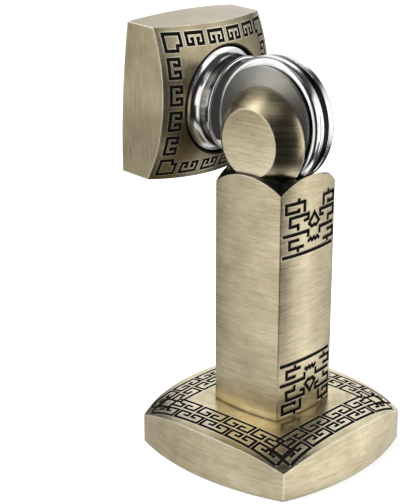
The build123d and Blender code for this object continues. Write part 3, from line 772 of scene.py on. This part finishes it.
def engrave(node_name, body, name, meshes, place, axes, groove, metal):
    """Cut lines into a CAD node, and let the result stand for it. The lines' own plane has its origin
    at the place and its X, Y and Z along the axes. The groove is its width, the width of its floor
    and its depth, in millimetres."""
    carriers = [bpy.data.objects.new("lines", mesh) for mesh in meshes]
    for carrier in carriers:
        scene.collection.objects.link(carrier)
    with bpy.context.temp_override(active_object=carriers[0], selected_editable_objects=carriers):
        bpy.ops.object.join()
    all_lines = carriers[0].data
    bpy.data.objects.remove(carriers[0])
    node = frame["nodes"][node_name]
    turn = Matrix(axes).transposed().to_euler()
    width, floor_width, depth = groove
    mesh = run_tree(name, all_lines, engraver, {
        "Solid": node, "Place": tuple(Vector(place) * MM), "Turn": tuple(turn), "Width": width * MM,
        "Floor width": floor_width * MM, "Depth": depth * MM, "Metal": metal, "Patina": patina})
    true_normals(mesh, node)
    piece = bpy.data.objects.new(name, mesh)
    scene.collection.objects.link(piece)
    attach(piece, body)
    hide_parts(node_name)
    cut_count = sum(item.value for item in mesh.attributes["engraved"].data)
    print(name, len(mesh.polygons), "faces,", cut_count, "of them in grooves,",
          [material.name for material in mesh.materials])
    return piece


# %% [markdown]
# ## The base's double border
# Two rows of keys stand foot to foot: four keys in the inner row and five in the outer. In each
# corner a plain square is left standing inside a ring.

# %% Engraved base
inner_keys = run_tree("inner_keys", line_mesh("key", [key_line(4.17, 0.66, 2.4, 17.2, 20.6)]),
                      four_sides, {"Count": 4, "Spacing": 9.6 * MM})
outer_keys = run_tree("outer_keys", line_mesh("key", [key_line(4.05, 0.66, 2.3, 25.0, 22.0)]),
                      four_sides, {"Count": 5, "Spacing": 9.2 * MM})
CORNER_RING = [(18.55, 18.55), (22.45, 18.55), (22.45, 22.45), (18.55, 22.45), (18.55, 18.55)]
QUARTERS = [(a, b) for a in (-1, 1) for b in (-1, 1)]
corner_lines = line_mesh("rings", [
    [(a * x, b * y) for x, y in CORNER_RING] for a, b in QUARTERS], layer=2)
engrave(
    "base_shell", "floor_unit", "engraved_base", [inner_keys, outer_keys, corner_lines],
    (0, 0, 12), ((1, 0, 0), (0, 1, 0), (0, 0, 1)), (0.88, 0.62, 0.42), brass_level)

# %% [markdown]
# ## The door plate's border
# One row of four keys on each side, and a stepped ring in each corner. The plate's plane leans a
# little, so the engraver gets the plane's own axes.

# %% Engraved door plate
door_axes = (Vector((0, 1, 0)), out_of_door.cross(Vector((0, 1, 0))), out_of_door)
plate_keys = run_tree("plate_keys", line_mesh("key", [key_line(2.4, 0.8, 1.5, 19.1, 16.3)]),
                      four_sides, {"Count": 4, "Spacing": 7.0 * MM})
STEPPED_RING = [(19.1, 19.1), (14.8, 19.1), (14.8, 16.2), (16.0, 16.2), (16.0, 14.9), (19.1, 14.9),
                (19.1, 19.1)]
plate_rings = line_mesh("rings", [
    [(a * x, b * y) for x, y in STEPPED_RING] for a, b in QUARTERS], layer=2)
engrave(
    "door_plate", "door_unit", "engraved_door_plate", [plate_keys, plate_rings],
    DOOR_CENTRE + out_of_door * 11, door_axes, (0.85, 0.62, 0.4), brass_upright)

# %% [markdown]
# ## The column's panels
# The face towards +X has a lattice at its top and the same, upside down, at its bottom. It is
# drawn once, for the left half of the top, and mirrored. It sits a little to the right on the
# face, as in the photograph, so its right end runs off the edge.

# %% Engraved column
PANEL_MIDDLE, COLUMN_MIDDLE, EDGE = 1.3, 43.2, 10.2
# Each line is its (y, z) points in millimetres and its layer.
LATTICE = [
    ([(-4.9, 70.7), (-4.9, 69.9), (-9.3, 69.9), (-9.3, 72.15), (-2.73, 72.15), (-2.73, 69.3)], 0),
    ([(-2.9, 67.0), (-1.2, 67.2), (-1.2, 68.6), (-7.9, 68.5), (-8.0, 66.2), (-5.1, 66.2), (-5.05, 64.75)], 0),
    ([(-4.6, 62.3), (-8.0, 62.3), (-8.0, 60.25), (-2.8, 60.25)], 0),
    ([(-4.9, 72.3), (-4.9, 73.3)], 1), ([(-4.97, 60.1), (-4.97, 59.0)], 1),
    ([(-10.3, 63.95), (-1.12, 63.95), (-1.12, 62.2)], 2)]
MIDDLE_LINES = [
    ([(-0.8, 65.8), (0.4, 64.8), (1.3, 65.1), (2.2, 64.8), (3.4, 65.8), (2.2, 67.2), (1.3, 68.4),
      (0.4, 67.2), (-0.8, 65.8)], 1),
    ([(-1.1, 60.9), (-0.1, 61.7), (0.6, 61.0), (1.3, 61.7), (2.0, 61.0), (2.7, 61.7), (3.7, 60.9)], 1),
    ([(-10.4, 58.3), (EDGE, 58.3)], 2)]


def mirrored(lines):
    """The lines on both sides of the panel's middle, at the top and the bottom of the column."""
    both = lines + [([(min(2 * PANEL_MIDDLE - y, EDGE), z) for y, z in line], layer) for line, layer in lines]
    both = both + MIDDLE_LINES
    return both + [([(y, 2 * COLUMN_MIDDLE - z) for y, z in line], layer) for line, layer in both]


panel_meshes = [line_mesh("lattice", [line for line, own in mirrored(LATTICE) if own == layer], layer=layer)
                for layer in range(LAYERS)]
engraved_column = engrave(
    "column", "floor_unit", "engraved_column", panel_meshes,
    (11, 0, 0), ((0, 1, 0), (0, 0, 1), (1, 0, 0)), (0.92, 0.66, 0.4), brass_column)

# %% [markdown]
# The top of the column was turned after it was brushed, and kept its dark skin. It is one piece
# with the column, so it isn't a mesh of its own: the faces that look up there get a slot of
# their own.

# %% The column's turned top
TURNED_FROM, LEVEL_ENOUGH = 74.0 * MM, 0.15
engraved_column.data.materials.append(brass_turned)
turned_index = len(engraved_column.data.materials) - 1
turned_faces = [face for face in engraved_column.data.polygons
                if face.center.z > TURNED_FROM and face.normal.z > LEVEL_ENOUGH]
for face in turned_faces:
    face.material_index = turned_index
print(len(turned_faces), "faces of the turned top are dark")
